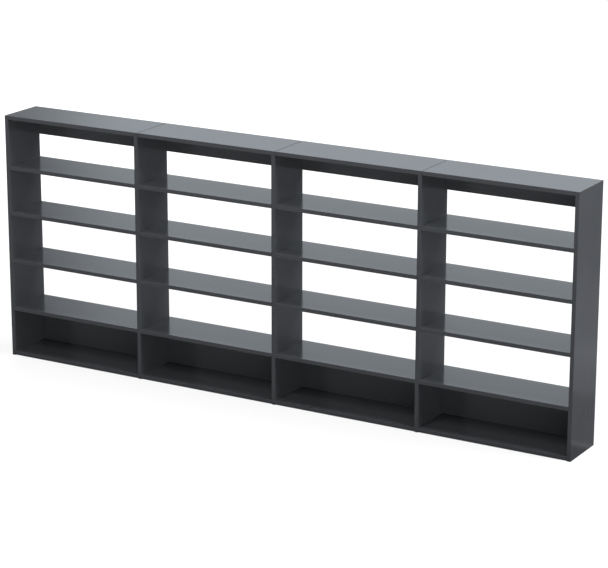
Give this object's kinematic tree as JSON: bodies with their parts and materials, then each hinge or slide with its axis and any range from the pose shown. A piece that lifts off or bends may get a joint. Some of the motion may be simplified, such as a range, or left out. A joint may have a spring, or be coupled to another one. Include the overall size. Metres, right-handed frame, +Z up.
{
  "type": "shelving unit",
  "caption": "Long low-backed run of open shelving in dark graphite lacquer: thick boards, shelves on hidden pins, a rail under each top and a panel behind each lowest compartment.",
  "frame": {"origin": "on the floor under the middle of the run, midway between the front and rear edges", "axes": "x along the run with + to the right seen from the front, y from front to rear, z up"},
  "size_m": [4.782, 0.4, 1.92],
  "materials": {
    "graphite_lacquer": "satin lacquer over medium-density fibreboard, sprayed in one dark graphite grey",
    "nickel_plated_steel": "nickel-plated steel shelf pins",
    "zinc_die_cast": "bare zinc die casting",
    "zinc_plated_steel": "blue-passivated zinc plate on steel",
    "grey_plastic": "moulded plastic caps in the grey of the boards",
    "beech": "turned beech dowels, unfinished",
    "black_plastic": "moulded black plastic glides"
  },
  "bodies": {
    "root": {"upright_1": "graphite_lacquer", "upright_2": "graphite_lacquer", "upright_3": "graphite_lacquer", "upright_4": "graphite_lacquer", "upright_5": "graphite_lacquer", "top_panel_1": "graphite_lacquer", "top_panel_2": "graphite_lacquer", "top_panel_3": "graphite_lacquer", "top_panel_4": "graphite_lacquer", "bottom_panel_1": "graphite_lacquer", "bottom_panel_2": "graphite_lacquer", "bottom_panel_3": "graphite_lacquer", "bottom_panel_4": "graphite_lacquer", "back_rail_1": "graphite_lacquer", "back_rail_2": "graphite_lacquer", "back_rail_3": "graphite_lacquer", "back_rail_4": "graphite_lacquer", "back_panel_1": "graphite_lacquer", "back_panel_2": "graphite_lacquer", "back_panel_3": "graphite_lacquer", "back_panel_4": "graphite_lacquer", "shelf_1_1": "graphite_lacquer", "shelf_1_2": "graphite_lacquer", "shelf_1_3": "graphite_lacquer", "shelf_1_4": "graphite_lacquer", "shelf_2_1": "graphite_lacquer", "shelf_2_2": "graphite_lacquer", "shelf_2_3": "graphite_lacquer", "shelf_2_4": "graphite_lacquer", "shelf_3_1": "graphite_lacquer", "shelf_3_2": "graphite_lacquer", "shelf_3_3": "graphite_lacquer", "shelf_3_4": "graphite_lacquer", "shelf_4_1": "graphite_lacquer", "shelf_4_2": "graphite_lacquer", "shelf_4_3": "graphite_lacquer", "shelf_4_4": "graphite_lacquer", "shelf_pins": "nickel_plated_steel", "cam_housings": "zinc_die_cast", "cam_bolts": "zinc_plated_steel", "seam_bolts": "zinc_plated_steel", "cover_caps": "grey_plastic", "dowels": "beech", "floor_glides": "black_plastic"}
  },
  "joints": []
}
